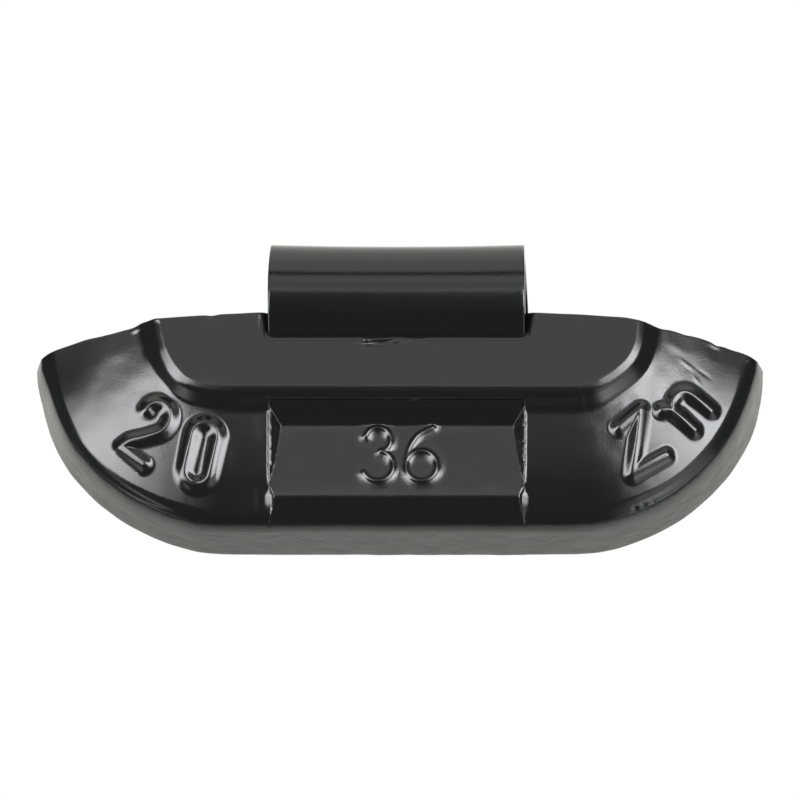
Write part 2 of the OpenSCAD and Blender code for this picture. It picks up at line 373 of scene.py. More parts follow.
def faceDepth(x, z):
    # depth of the face behind the pad's plane: wings, pad with sloped walls, sunk panel,
    # notch for the clip, parting line, casting faults, raised marks and slow waves
    p, n, m = padForm, notchForm, marks
    wing = wingDepthAt(x, z)
    wall = p["slope"] * (signedDistance(x, z, padLoop) - p["foot"])
    depth = softMin(wing, softMax(np.zeros_like(x), wall, p["edge"]), p["fillet"])
    depth = panelDepth(x, z, depth, wing)
    wall = np.clip(-notchDistance(x, z) * n["wall"], -1, None)
    depth = softMax(depth, np.minimum(wall, stripDepthAt(z)), n["lip"])
    parting = (np.abs(x) < p["partingHalf"]) * np.exp(-((z - p["partingZ"]) / p["partingWidth"]) ** 2)
    depth = depth - p["partingHeight"] * parting - faultHeight(x, z)
    d = np.min([lineDistance(x, z, line) for line in markLines], axis=0)
    depth = depth - ridgeHeight(d, m["height"], m["crest"], m["foot"])
    d = np.min([lineDistance(x, z, line) for line in figureLines], axis=0)
    depth = depth - ridgeHeight(d, m["figureHeight"], m["figureCrest"], m["figureFoot"])
    depth = depth - m["figureSwell"] * np.exp(-(d / m["swellWidth"]) ** 2)
    for height, cell, seed in faceWaves:
        depth = depth + height * softNoise(x, z, cell, seed)
    return depth


def notchDistance(x, z):
    # distance to the notch, which is open at its top, with round lower corners
    n = notchForm
    dx = np.abs(x) - (n["half"] - n["corner"])
    dz = (n["floorZ"] + n["corner"]) - z
    outside = np.hypot(np.maximum(dx, 0), np.maximum(dz, 0))
    return outside + np.minimum(np.maximum(dx, dz), 0) - n["corner"]


topLine = np.array([  # top edge over the wings, which lies lower than the wheel's circle
    (-22.2, 4.2), (-21.5, 4.37), (-21.1, 4.5), (-20.4, 4.62), (-19.8, 4.75), (-18.9, 4.96),
    (-18.0, 5.1), (-17.05, 5.31), (-16.15, 5.5), (-15.6, 5.66), (-15.2, 5.9), (-12.5, 6.1),
    (12.5, 6.0), (13.9, 5.82), (14.78, 5.64), (15.7, 5.51), (16.6, 5.36), (17.5, 5.2),
    (18.4, 4.98), (19.1, 4.76), (19.35, 4.62), (20.2, 4.46), (21.1, 4.28), (22.2, 4.05),
])


def wheelTopAt(x):
    # the wheel's circle, which the top of the middle and the nest follow
    f = bodyForm
    return f["topZ"] - f["wheelR"] + np.sqrt(f["wheelR"] ** 2 - x ** 2)


def topAt(x):
    # top of the body: the wheel's circle over the middle, lower over the wings, small faults
    f = bodyForm
    wheel = wheelTopAt(x)
    wing = np.interp(x, topLine[:, 0], topLine[:, 1]) + f["wingLift"]
    top = np.where(np.abs(x) > f["wingStart"], np.minimum(wing, wheel), wheel)
    for place, width, height in topFaults:
        top = top + height * np.exp(-((x - place) / width) ** 2)
    return top


def nestCentreAt(x):
    # height of the nest's axis: its radius below the wheel's circle
    return wheelTopAt(x) - bodyForm["nestR"]


def backDepthAt(x, z):
    # back of the body: a circle that nests under the flange, then a flat back
    f = bodyForm
    centre = nestCentreAt(x)
    up = np.clip((z - centre) / f["nestR"], 0, 1)
    nest = np.minimum(backY, f["curlBack"] + f["nestR"] * np.sqrt(1 - up ** 2))
    return np.where(z > centre, nest, backY)


outlineForm = dict(
    points=4000,
    blurReach=160,  # points on each side that the running mean takes in
    blur=0.12,
    tipBlur=0.55,  # stronger at the upper tips of the ends
    tipX=21.2,
    tipRun=1.1,
    tipAbove=2.5,
    wave=0.02,
    waveCell=1.1,
)


def frontOutline(count):
    # outline of the face: left end, lower edge, right end, then back along the top, blurred
    # along its length, more so at the upper tips; gives its points and outward normals
    f, o = bodyForm, outlineForm
    r = f["endZ"] + f["faceDrop"]
    a = np.linspace(math.radians(1.5), np.pi / 2, 240)
    ends = []
    for side in (-1, 1):
        reach = r - endSlack(side, np.degrees(a))
        arc = np.stack([side * (f["endX"] + reach * np.cos(a)), f["endZ"] - reach * np.sin(a)], 1)
        ends.append(arc[arc[:, 1] < topAt(arc[:, 0])])
    left, right = ends[0], ends[1][::-1]
    x = np.linspace(right[-1, 0], left[0, 0], 500)[1:-1]
    raw = np.vstack([left, right, np.stack([x, topAt(x)], 1)])
    closed = np.vstack([raw, raw[:1]])
    run = np.concatenate([[0], np.cumsum(np.hypot(*np.diff(closed, axis=0).T))])
    total, reach = o["points"], o["blurReach"]
    s = np.linspace(0, run[-1], total, endpoint=False)
    even = np.stack([np.interp(s, run, closed[:, 0]), np.interp(s, run, closed[:, 1])], 1)

    def blurred(sigma):
        # running mean with bell weights, round the closed line
        k = np.arange(-reach, reach + 1) * (run[-1] / total)
        w = np.exp(-0.5 * (k / sigma) ** 2)
        w /= w.sum()
        return np.stack([np.convolve(np.r_[c[-reach:], c, c[:reach]], w, "valid") for c in even.T], 1)

    tip = np.exp(-((np.abs(even[:, 0]) - o["tipX"]) / o["tipRun"]) ** 2) * (even[:, 1] > o["tipAbove"])
    loop = blurred(o["blur"]) * (1 - tip[:, None]) + blurred(o["tipBlur"]) * tip[:, None]
    waves = np.stack([softNoise(loop[:, 0], loop[:, 1], o["waveCell"], seed) for seed in (11, 12)], 1)
    loop = loop + o["wave"] * waves
    pick = (np.arange(count) * total / count).astype(int)
    t = (np.roll(loop, -3, axis=0) - np.roll(loop, 3, axis=0))[pick]
    n = np.stack([t[:, 1], -t[:, 0]], 1) / np.hypot(*t.T)[:, None]
    lowerEdge = count // 3  # a station whose normal points down
    return loop[pick], -n if n[lowerEdge, 1] > 0 else n


def unevenLine(stretches):
    # positions along one axis from stretches of (start, end, spacing)
    out = []
    for a, b, step in stretches:
        out.append(np.linspace(a, b, max(int(round((b - a) / step)), 1), endpoint=False))
    return np.concatenate(out + [[stretches[-1][1]]])


def triangulated(points, ring):
    # fills a closed ring, the first of the points, with triangles through the other points
    edges = [(i, (i + 1) % ring) for i in range(ring)]
    flat = [Vector(p) for p in points.tolist()]
    verts, _, faces, origin, _, _ = delaunay_2d_cdt(flat, edges, [], 1, 1e-7)
    index = np.full(len(points), -1)
    for new, old in enumerate(origin):
        if old:
            index[old[0]] = new
    return np.array([tuple(v) for v in verts]), np.array(faces), index


grid = dict(
    stations=760,  # points round the outline
    x=[(-22, -17.6, 0.13), (-17.6, -10.2, 0.085), (-10.2, -8.2, 0.14), (-8.2, -6.6, 0.055),
       (-6.6, -2.4, 0.15), (-2.4, 2.8, 0.055), (2.8, 6.6, 0.15), (6.6, 8.2, 0.055),
       (8.2, 12.8, 0.13), (12.8, 19.9, 0.085), (19.9, 22, 0.13)],
    z=[(-6.4, -4.2, 0.085), (-4.2, -0.3, 0.06), (-0.3, 0.84, 0.08), (0.84, 1.08, 0.024),
       (1.08, 1.9, 0.08), (1.9, 4.1, 0.14), (4.1, 4.8, 0.06), (4.8, 6.4, 0.09)],
    mitreFoot=-0.43,  # lower end of the fine strips along the panel's upper corners
    mitreHalf=0.13,  # half width of the strip of points, and the room cleared for it
    mitreClear=0.15,
    footRow=0.012,  # spacing of the rows at the foot of the panel's side walls
    footClear=7,  # rows of room cleared on each side of them
    footIn=0.03,  # least distance of that foot from the wall's edge
    footZ=(-4.3, -0.5, 0.06),  # start, end and spacing along the wall
    rings=13,  # rows of points that follow the outline
    ringStep=0.06,
    ringGap=0.5,  # they stop this far short of the panel's side walls
    ringsBelow=4.2,
    edgeClear=0.06,
    frontRound=0.27,  # how far in from the outline the edge starts to turn
    edgeRun=0.6,  # how far back it ends, more so at the ends
    endRun=1.1,
    edgeRows=8,
    wallRows=15,
    heelRows=4,
    backRound=0.3,
    backX=(-22, 22.1, 0.45),  # grid of the back: along x and down the unrolled surface
    backS=(0.2, 16, 0.35),
    backClear=0.25,
    backMiddle=(0.0, 8.0),
)


def bezierRows(p0, p1, p2, n):
    # quadratic curve from p0 to p2 pulled to the corner p1, without its two ends
    t = (np.arange(1, n + 1) / (n + 1))[:, None, None]
    return (1 - t) ** 2 * p0 + 2 * t * (1 - t) * p1 + t ** 2 * p2


def withMitres(gx, gz):
    # a fine strip of points, turned along the crease where the panel's top wall meets its
    # side wall, takes the place of the grid's points near it
    q, g = panelForm, grid
    ends = np.array([g["mitreFoot"], q["head"] + q["headRun"] * (q["floor"] - q["lip"])])
    level = q["floor"] - (ends - q["head"]) / q["headRun"]
    mitre = q["half"] - np.maximum(level - middleDepthAt(ends) + q["burr"], 0)
    for side in (-1, 1):
        a, b = (np.array([side * mitre[k], ends[k]]) for k in (1, 0))
        length = np.hypot(*(b - a))
        along = (b - a) / length
        t, u = np.meshgrid(np.linspace(0, length, 60),
                           np.linspace(-g["mitreHalf"], g["mitreHalf"], 27), indexing="ij")
        strip = a + t.reshape(-1, 1) * along + u.reshape(-1, 1) * np.array([-along[1], along[0]])
        away = lineDistance(gx, gz, np.array([a, b])) > g["mitreClear"]
        gx, gz = np.r_[gx[away], strip[:, 0]], np.r_[gz[away], strip[:, 1]]
    return gx, gz


def withFootRows(gx, gz):
    # rows of points close together follow the foot of each side wall of the panel
    q, g = panelForm, grid
    low, high, step = g["footZ"]
    z = np.arange(low, high, step)
    foot = q["half"] - np.maximum(q["floor"] - middleDepthAt(z) + q["burr"], g["footIn"])
    across = np.arange(-5, 6)
    row = (foot[:, None] + g["footRow"] * across[None, :]).ravel()
    level = np.repeat(z, len(across))
    near = (np.abs(np.abs(gx) - np.interp(gz, z, foot)) < g["footClear"] * g["footRow"])
    near = near & (gz > low - 0.03) & (gz < high)
    return np.r_[gx[~near], row, -row], np.r_[gz[~near], level, level]


def facePlan(loop, normal, inner):
    # the face's points from the front: its edge, rings inside that follow it, and a grid
    q, g = panelForm, grid
    side = (normal[:, 1] < 0.3) & (np.abs(np.abs(loop[:, 0]) - q["half"]) > g["ringGap"])
    rings = [(inner - normal * g["ringStep"] * k)[side] for k in range(1, g["rings"] + 1)]
    gx, gz = np.meshgrid(unevenLine(g["x"]), unevenLine(g["z"]), indexing="ij")
    gx, gz = withFootRows(*withMitres(gx.ravel(), gz.ravel()))
    inward = -signedDistance(gx, gz, inner[::2])
    beside = (gz < g["ringsBelow"]) & (np.abs(np.abs(gx) - q["half"]) > g["ringGap"])
    keep = inward > np.where(beside, g["ringStep"] * (g["rings"] + 0.8), g["edgeClear"])
    return np.vstack([inner] + rings + [np.stack([gx[keep], gz[keep]], 1)])


def unroll(x, z):
    # height on the back to s, which runs down the nest's circle and on down the flat back
    r, c = bodyForm["nestR"], nestCentreAt(x)
    up = np.clip((z - c) / r, math.cos(nestTurn), 1)
    return r * np.arccos(up) + np.maximum(c + r * math.cos(nestTurn) - z, 0)


def rollUp(x, s):
    # the other way: points of the back from x and s
    f = bodyForm
    a = np.minimum(s / f["nestR"], nestTurn)
    down = np.maximum(s - f["nestR"] * nestTurn, 0)
    z = nestCentreAt(x) + f["nestR"] * np.cos(a) - down
    return np.stack([x, f["curlBack"] + f["nestR"] * np.sin(a), z], 1)


def buildBack(heel, depthRound):
    # a ring inside the heel of the wall, unrolled flat, is filled and rolled up again
    g = grid
    flat = np.stack([heel[:, 0], unroll(heel[:, 0], heel[:, 2])], 1)
    t = np.roll(flat, -2, axis=0) - np.roll(flat, 2, axis=0)
    inward = np.stack([-t[:, 1], t[:, 0]], 1) / np.maximum(np.hypot(*t.T), 1e-9)[:, None]
    middle = np.array(g["backMiddle"])
    inward *= np.sign(np.sum(inward * (middle - flat), 1))[:, None]
    ring = flat + inward * depthRound[:, None]
    x, s = np.meshgrid(np.arange(*g["backX"]), np.arange(*g["backS"]), indexing="ij")
    x, s = x.ravel(), s.ravel()
    keep = signedDistance(x, s, ring[::2]) < -g["backClear"]
    plan = np.vstack([ring, np.stack([x[keep], s[keep]], 1)])
    verts, faces, index = triangulated(plan, len(heel))
    return rollUp(verts[:, 0], verts[:, 1]), faces, index[:len(heel)]


def buildBody():
    # the face, then rows of points from each station of its outline over the rounded edge
    # and straight back to the heel of the wall, then the back
    f, g = bodyForm, grid
    loop, normal = frontOutline(g["stations"])
    lessFlare = f["lowFlareCut"] * ease(-normal[:, 1] * 5 - 4)
    flare = np.clip(1 - normal[:, 1], 0, 1) * (f["wallFlare"] - lessFlare) / f["wallDepth"]
    less = 0.5 * np.clip(normal[:, 1], 0, 1) + 0.4 * normal[:, 0] ** 2
    inner = loop - normal * (g["frontRound"] * (1 - less))[:, None]
    verts, faces, index = triangulated(facePlan(loop, normal, inner), len(inner))
    print("face of the body:", len(verts), "points")
    front = np.stack([verts[:, 0], faceDepth(verts[:, 0], verts[:, 1]), verts[:, 1]], 1)
    ringFront = index[:len(inner)]

    startY = faceDepth(loop[:, 0], loop[:, 1])
    endY = np.full(len(loop), backY)
    for _ in range(30):  # closes in on where the flared wall meets the back
        at = loop + normal * (flare * (endY - startY))[:, None]
        endY = 0.5 * endY + 0.5 * np.maximum(backDepthAt(at[:, 0], at[:, 1]), startY + f["wallLeast"])
    run = np.concatenate([[0], np.cumsum(np.hypot(*np.diff(loop, axis=0).T))])

    def wallAt(y):
        # a row of the wall at depth y: the outline moved out by the flare and low lumps
        lump = 0.01 * softNoise(run, y, 0.8, 13) + 0.007 * softNoise(run * 0.4, y, 0.25, 14)
        out = flare * (y - startY) + (lump - 0.015) * np.clip((y - startY) / 0.5, 0, 1)
        at = loop + normal * out[:, None]
        return np.stack([at[:, 0], y, at[:, 1]], 1)

    longer = np.clip(1.3 * np.abs(normal[:, 0]), 0, 1) * (normal[:, 1] < 0.5)
    edgeRun = g["edgeRun"] + g["endRun"] * longer
    depthRound = np.minimum(g["backRound"], 0.4 * (endY - startY))
    heel = wallAt(endY)
    back, backFaces, ringBack = buildBack(heel, depthRound)
    straight = [wallAt(startY + (edgeRun * (1 - t) + (endY - startY - depthRound) * t))
                for t in np.linspace(0, 1, g["wallRows"])[:-1]]
    straight.append(wallAt(endY - depthRound))
    band = np.concatenate([
        bezierRows(front[ringFront], wallAt(startY), straight[0], g["edgeRows"]),
        np.stack(straight),
        bezierRows(straight[-1], heel, back[ringBack], g["heelRows"]),
    ])
    n, base = len(loop), len(front)
    ids = [ringFront] + [base + i * n + np.arange(n) for i in range(len(band))]
    ids.append(base + len(band) * n + ringBack)
    quads = [np.stack([a, np.roll(a, -1), np.roll(b, -1), b], 1) for a, b in zip(ids[:-1], ids[1:])]
    points = np.concatenate([front, band.reshape(-1, 3), back])
    points[:, 1] -= f["curlBack"]
    points[:, 2] -= f["curlZ"]
    backFaces = backFaces + base + len(band) * n
    faceList = faces.tolist() + np.concatenate(quads).tolist() + backFaces.tolist()
    return points, faceList, len(faces)


def addPiece(name, points, faces, node):
    # mesh in metres with outward normals, bound to the part and put in its node's place
    mesh = bpy.data.meshes.new(name)
    mesh.from_pydata((points * 0.001).tolist(), [], faces)
    bm = bmesh.new()
    bm.from_mesh(mesh)
    bmesh.ops.recalc_face_normals(bm, faces=bm.faces)
    bm.to_mesh(mesh)
    bm.free()
    mesh.shade_smooth()
    piece = bpy.data.objects.new(name, mesh)
    bpy.context.scene.collection.objects.link(piece)
    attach(piece, "root")
    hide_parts(node)
    return piece


points, faces, faceCount = buildBody()
castBody = addPiece("cast_body", points, faces, "weight")
print("body built:", len(points), "points", len(faces), "faces")

clipForm = dict(
    width=15.6,
    shift=-0.04,
    thick=0.95,
    curlMid=2.075,  # radius of the curl, to the middle of the strip
    tailMid=9.275,  # flange's roll less the grip, to the middle of the strip
    tailSweep=50,
    curlPast=5,
    frontDrop=0.55,
    frontRun=0.25,  # straight stretch at the front of the curl
    leanTurn=36,
    leanR=1.9,
    legY=0.5,
    bendR=1.6,
    legEnd=-7.5,
    edgeRound=0.11,
    edgeRow=0.03,  # a row of points this far inside each rounded edge
    sagFoot=-4.0,  # height where the sag starts, and over how much it grows
    sagRun=3.0,
    sag=0.11,  # the middle of the width lies this much lower over the curl
    drawIn=0.08,  # the sides close in towards the top
)


def clipLine():
    # middle of the strip in the YZ plane: tail, curl, short upright, lean, bend and leg
    c = clipForm
    past = math.radians(90 - c["curlPast"])
    tailC = (c["curlMid"] - c["tailMid"]) * np.array([math.cos(past), math.sin(past)])
    parts = [arcLine(*tailC, c["tailMid"], 90 - c["curlPast"] - c["tailSweep"], 90 - c["curlPast"], 40)]
    q = np.radians(np.linspace(90 - c["curlPast"], 180, 48))
    low = c["frontDrop"]  # the front of the curl is drawn down into half an oval
    z = np.where(q > np.pi / 2, (c["curlMid"] + low) * np.sin(q) - low, c["curlMid"] * np.sin(q))
    parts.append(np.stack([c["curlMid"] * np.cos(q), z], 1))
    leanY, leanZ = c["leanR"] - c["curlMid"], -low - c["frontRun"]
    parts.append(arcLine(leanY, leanZ, c["leanR"], 180, 180 + c["leanTurn"], 14))
    a = math.radians(c["leanTurn"])
    start = parts[-1][-1]
    footY = c["legY"] - c["bendR"] * (1 - math.cos(a))
    run = (footY - start[0]) / math.sin(a)
    footZ = start[1] - run * math.cos(a)
    t = np.linspace(0, 1, 12)[1:-1, None]
    parts.append(start * (1 - t) + np.array([footY, footZ]) * t)
    bendZ = footZ - c["bendR"] * math.sin(a)
    parts.append(arcLine(c["legY"] - c["bendR"], bendZ, c["bendR"], c["leanTurn"], 0, 12))
    z = np.linspace(bendZ, c["legEnd"], 8)[1:]
    parts.append(np.stack([np.full(len(z), c["legY"]), z], 1))
    line = np.vstack(parts)
    gap = np.hypot(*np.diff(line, axis=0).T)
    return line[np.r_[True, gap > 1e-4]]


def buildClip():
    # a rounded rectangle carried along the strip's line, its ends drawn in and closed
    c = clipForm
    line = clipLine()
    half, halfThick, r = c["width"] / 2, c["thick"] / 2, c["edgeRound"]
    q = np.radians(np.linspace(0, 90, 6))
    near = half - r - c["edgeRow"]
    us = np.r_[-(half - r), np.linspace(-near, near, 41), half - r]
    top = np.stack([us, np.full(len(us), halfThick)], 1)
    corner1 = np.stack([half - r + r * np.sin(q), halfThick - r + r * np.cos(q)], 1)
    corner2 = np.stack([half - r + r * np.cos(q), -halfThick + r - r * np.sin(q)], 1)
    section = np.vstack([top[:-1], corner1, corner2[:-1]])
    section = np.vstack([section, -section])

    # the first and last rows are drawn in along a quarter circle, so the cut ends are round
    ends = np.radians(np.linspace(90, 0, 5))[:-1]
    tangent = np.gradient(line, axis=0)
    tangent /= np.hypot(*tangent.T)[:, None]
    step = (r * np.sin(ends) - r)[:, None]
    centre = np.vstack([line[0] - tangent[0] * step, line[1:-1], line[-1] + tangent[-1] * step[::-1]])
    first, last = (np.tile(tangent[k], (len(ends), 1)) for k in (0, -1))
    along = np.vstack([first, tangent[1:-1], last])
    drawn = r * (1 - np.cos(ends))
    inset = np.r_[drawn, np.zeros(len(line) - 2), drawn[::-1]][:, None]
    u, v = section[None, :, 0], section[None, :, 1]
    u = np.sign(u) * np.maximum(np.abs(u) - inset, 0)
    v = np.sign(v) * np.maximum(np.abs(v) - inset, 0)
    across = np.stack([along[:, 1], -along[:, 0]], 1)
    curlRow = 60  # a row on the curl, whose axis is the origin
    outward = across if np.sum(across[curlRow] * centre[curlRow]) > 0 else -across
    rise = np.clip((centre[:, 1] - c["sagFoot"]) / c["sagRun"], 0, 1)[:, None]
    lift = -c["sag"] * (1 - (u / half) ** 2) * rise
    y = centre[:, :1] + outward[:, :1] * (v + lift)
    z = centre[:, 1:] + outward[:, 1:] * (v + lift)
    x = u + c["shift"] - np.sign(u) * c["drawIn"] * np.clip(z / 2, 0, 1)
    m, k = y.shape
    points = np.stack([x, y, z], 2).reshape(-1, 3)
    i = np.arange(m - 1)[:, None] * k
    j = np.arange(k)[None, :]
    quads = np.stack([i + j, i + (j + 1) % k, i + k + (j + 1) % k, i + k + j], 2).reshape(-1, 4)
    faces = quads.tolist() + [list(range(k))[::-1], list(range((m - 1) * k, m * k))]
    return points, faces


points, faces = buildClip()
springClip = addPiece("spring_clip", points, faces, "clip")
print("clip built:", len(points), "points")


def grainGroup():
    # height of the coating's grain: fine speckle plus a slow orange-peel wave
    group = bpy.data.node_groups.new("coatGrain", "ShaderNodeTree")
    group.interface.new_socket("Vector", in_out="INPUT", socket_type="NodeSocketVector")
    for label in ("Speckle Scale", "Peel Scale", "Peel Share"):
        group.interface.new_socket(label, in_out="INPUT", socket_type="NodeSocketFloat")
    group.interface.new_socket("Height", in_out="OUTPUT", socket_type="NodeSocketFloat")
    group.interface.new_socket("Mask", in_out="OUTPUT", socket_type="NodeSocketFloat")
    nodes, links = group.nodes, group.links
    start, end = nodes.new("NodeGroupInput"), nodes.new("NodeGroupOutput")
    fine, slow = nodes.new("ShaderNodeTexNoise"), nodes.new("ShaderNodeTexNoise")
    fine.inputs["Detail"].default_value = 3
    slow.inputs["Detail"].default_value = 2
    mix = nodes.new("ShaderNodeMix")
    links.new(start.outputs["Vector"], fine.inputs["Vector"])
    links.new(start.outputs["Vector"], slow.inputs["Vector"])
    links.new(start.outputs["Speckle Scale"], fine.inputs["Scale"])
    links.new(start.outputs["Peel Scale"], slow.inputs["Scale"])
    links.new(start.outputs["Peel Share"], mix.inputs[0])
    links.new(fine.outputs["Fac"], mix.inputs[2])
    links.new(slow.outputs["Fac"], mix.inputs[3])
    links.new(mix.outputs[0], end.inputs["Height"])
    links.new(fine.outputs["Fac"], end.inputs["Mask"])
    return group


grain = grainGroup()


coatColour = (0.0075, 0.0088, 0.009, 1)
roughLess, roughMore = 0.03, 0.05  # how far the grain lowers and raises the roughness


def coatMaterial(name, values):
    # glossy black coat: the grain's height bends the normal, its mask varies the roughness
    mat = bpy.data.materials.new(name)
    mat.use_nodes = True
    nodes, links = mat.node_tree.nodes, mat.node_tree.links
    shader = nodes["Principled BSDF"]
    place = nodes.new("ShaderNodeTexCoord")
    texture = nodes.new("ShaderNodeGroup")
    texture.node_tree = grain
    texture.inputs["Speckle Scale"].default_value = values["speckle"]
    texture.inputs["Peel Scale"].default_value = values["peelScale"]
    texture.inputs["Peel Share"].default_value = values["peel"]
    bump = nodes.new("ShaderNodeBump")
    bump.inputs["Strength"].default_value = values["bump"]
    bump.inputs["Distance"].default_value = values["depth"]
    rough = nodes.new("ShaderNodeMapRange")
    rough.inputs["To Min"].default_value = values["roughness"] - roughLess
    rough.inputs["To Max"].default_value = values["roughness"] + roughMore
    links.new(place.outputs["Object"], texture.inputs["Vector"])
    links.new(texture.outputs["Height"], bump.inputs["Height"])
    links.new(texture.outputs["Mask"], rough.inputs["Value"])
    links.new(rough.outputs["Result"], shader.inputs["Roughness"])
    links.new(bump.outputs["Normal"], shader.inputs["Normal"])
    shader.inputs["Base Color"].default_value = coatColour
    shader.inputs["IOR"].default_value = 1.5
    return mat


faceCoat = coatMaterial("black coat on casting", dict(
    roughness=0.14, speckle=9000, peelScale=900, peel=0.35, bump=0.6, depth=0.00001))
wallCoat = coatMaterial("black coat on rough wall", dict(
    roughness=0.24, speckle=5000, peelScale=500, peel=0.6, bump=0.9, depth=0.00006))
steelCoat = coatMaterial("black coat on steel", dict(
    roughness=0.12, speckle=9000, peelScale=700, peel=0.3, bump=0.7, depth=0.000012))
castBody.data.materials.append(faceCoat)
castBody.data.materials.append(wallCoat)
springClip.data.materials.append(steelCoat)
slots = np.zeros(len(castBody.data.polygons), np.int32)
slots[faceCount:] = 1  # the wall and the back
castBody.data.polygons.foreach_set("material_index", slots)
print("materials set")

# camera: below the weight and a little to its right, with a long lens
shot = dict(
    yaw=2.0,
    pitch=-16.0,
    roll=0.55,
    distance=1.5,  # metres
    scale=16.5,  # pixels to a millimetre
    pixels=800,
    sensor=36,
    aimX=0.22,
    aimY=-1.45,
    aimZ=-7.59,
)


def lookFrom(azimuth, elevation):
    # unit vector towards the camera: turned from the front, then raised
    a, e = math.radians(azimuth), math.radians(elevation)
    return Vector((math.sin(a) * math.cos(e), -math.cos(a) * math.cos(e), math.sin(e)))


camera = bpy.data.objects.new("camera", bpy.data.cameras.new("camera"))
bpy.context.scene.collection.objects.link(camera)
aim = Vector((shot["aimX"], shot["aimY"], shot["aimZ"])) * 0.001
back = lookFrom(shot["yaw"], shot["pitch"])
camera.location = aim + back * shot["distance"]
turn = Quaternion(back, math.radians(shot["roll"]))
camera.rotation_euler = (turn @ back.to_track_quat("Z", "Y")).to_euler()
camera.data.sensor_width = shot["sensor"]
camera.data.lens = shot["sensor"] * shot["distance"] / (shot["pixels"] / shot["scale"] * 0.001)
camera.data.clip_start = 0.01
bpy.context.scene.camera = camera

studio = dict(
    floorZ=-0.6,  # metres
    floorSize=6.0,
    fill=0.8,  # strength of the world as a light
    floorColour=(0.9, 0.9, 0.9, 1),
    floorRoughness=0.9,
    mirroredColour=(1, 0.99, 0.95, 1),  # the floor as the coat mirrors it
    mirroredGlow=1.3,
)


def emissive(name, colour, strength):
    # a material that only gives off light
    mat = bpy.data.materials.new(name)
    mat.use_nodes = True
    nodes, links = mat.node_tree.nodes, mat.node_tree.links
    nodes.clear()
    glow, out = nodes.new("ShaderNodeEmission"), nodes.new("ShaderNodeOutputMaterial")
    glow.inputs["Color"].default_value = colour
    glow.inputs["Strength"].default_value = strength
    links.new(glow.outputs[0], out.inputs[0])
    return mat


def seenDirectly(nodes, links):
    # 1 for a ray from the camera, a mirrored ray or one that passed through, else 0
    path, either = nodes.new("ShaderNodeLightPath"), nodes.new("ShaderNodeMath")
    both = nodes.new("ShaderNodeMath")
    either.operation = both.operation = "MAXIMUM"
    links.new(path.outputs["Is Camera Ray"], either.inputs[0])
    links.new(path.outputs["Is Glossy Ray"], either.inputs[1])
    links.new(either.outputs[0], both.inputs[0])
    links.new(path.outputs["Is Transmission Ray"], both.inputs[1])
    return both.outputs[0]


def flatSheet(name, corners, material):
    # one face through the corners, for the stage
    mesh = bpy.data.meshes.new(name)
    mesh.from_pydata(corners, [], [tuple(range(len(corners)))])
    sheet = bpy.data.objects.new(name, mesh)
    bpy.context.scene.collection.objects.link(sheet)
    mesh.materials.append(material)


def floorMaterial():
    # pale and matt, but a warm glow where the coat mirrors it
    s = studio
    mat = bpy.data.materials.new("pale floor")
    mat.use_nodes = True
    nodes, links = mat.node_tree.nodes, mat.node_tree.links
    shader, out = nodes["Principled BSDF"], nodes["Material Output"]
    shader.inputs["Base Color"].default_value = s["floorColour"]
    shader.inputs["Roughness"].default_value = s["floorRoughness"]
    glow, mix = nodes.new("ShaderNodeEmission"), nodes.new("ShaderNodeMixShader")
    path = nodes.new("ShaderNodeLightPath")
    glow.inputs["Color"].default_value = s["mirroredColour"]
    glow.inputs["Strength"].default_value = s["mirroredGlow"]
    links.new(path.outputs["Is Glossy Ray"], mix.inputs[0])
    links.new(shader.outputs[0], mix.inputs[1])
    links.new(glow.outputs[0], mix.inputs[2])
    links.new(mix.outputs[0], out.inputs[0])
    return mat


def buildStudio():
    # a floor, and a world that is white to the camera and dimmer as a light
    s = studio
    size, z = s["floorSize"], s["floorZ"]
    corners = [(-size, -size, z), (size, -size, z), (size, size, z), (-size, size, z)]
    flatSheet("floor", corners, floorMaterial())
    world = bpy.data.worlds.new("studio")
    bpy.context.scene.world = world
    world.use_nodes = True
    nodes, links = world.node_tree.nodes, world.node_tree.links
    nodes.clear()
    white, soft = nodes.new("ShaderNodeBackground"), nodes.new("ShaderNodeBackground")
    mix, out = nodes.new("ShaderNodeMixShader"), nodes.new("ShaderNodeOutputWorld")
    white.inputs["Color"].default_value = (1, 1, 1, 1)
    soft.inputs["Color"].default_value = (1, 1, 1, 1)
    soft.inputs["Strength"].default_value = s["fill"]
    links.new(seenDirectly(nodes, links), mix.inputs[0])
    links.new(soft.outputs[0], mix.inputs[1])
    links.new(white.outputs[0], mix.inputs[2])
    links.new(mix.outputs[0], out.inputs[0])


tent = dict(
    radius=1.1,  # metres
    spacing=1.5,  # degrees between its points
    floorGap=0.01,
    dark=0.148,
    white=0.84,
    strip=0.65,  # brighter rim just above the dark part
    upper=0.3,  # what the upper part and its edge get on top of the white
    upperEdge=0.25,
    sky=0.4,  # and the directions high overhead
    shade=0.24,  # share the white loses where a surface faces sideways
    band=1.7,  # strength of a dark band round the tent, its height and width in degrees
    bandHeight=37,
    bandWidth=3.3,
    left=12.8,  # brightness of the lamp on each side
    right=14.8,
    lampEdge=(3.5, 5.5),  # degrees round from the front where the right and left lamp begin
    low=1.3,  # weak light low on the right
    leftBack=1.05,  # behind the weight, mirrored in its end walls
    rightBack=1.2,
    backRise=0.35,
    spot=3.0,
    warmAbove=(30, 12),  # where the warm tint starts and its run, in degrees
    warmBehind=(105, 25),
    coolTint=(0.95, 0.975, 1.0),
    warmTint=(1.0, 0.985, 0.93),
)


def fadeIn(value, start, run):
    # 0 up to the start, 1 from the end of the run
    return ease((value - start) / run)


def fadeOut(value, end, run):
    # 1 until the run starts, 0 from the end
    return ease((end - value) / run)


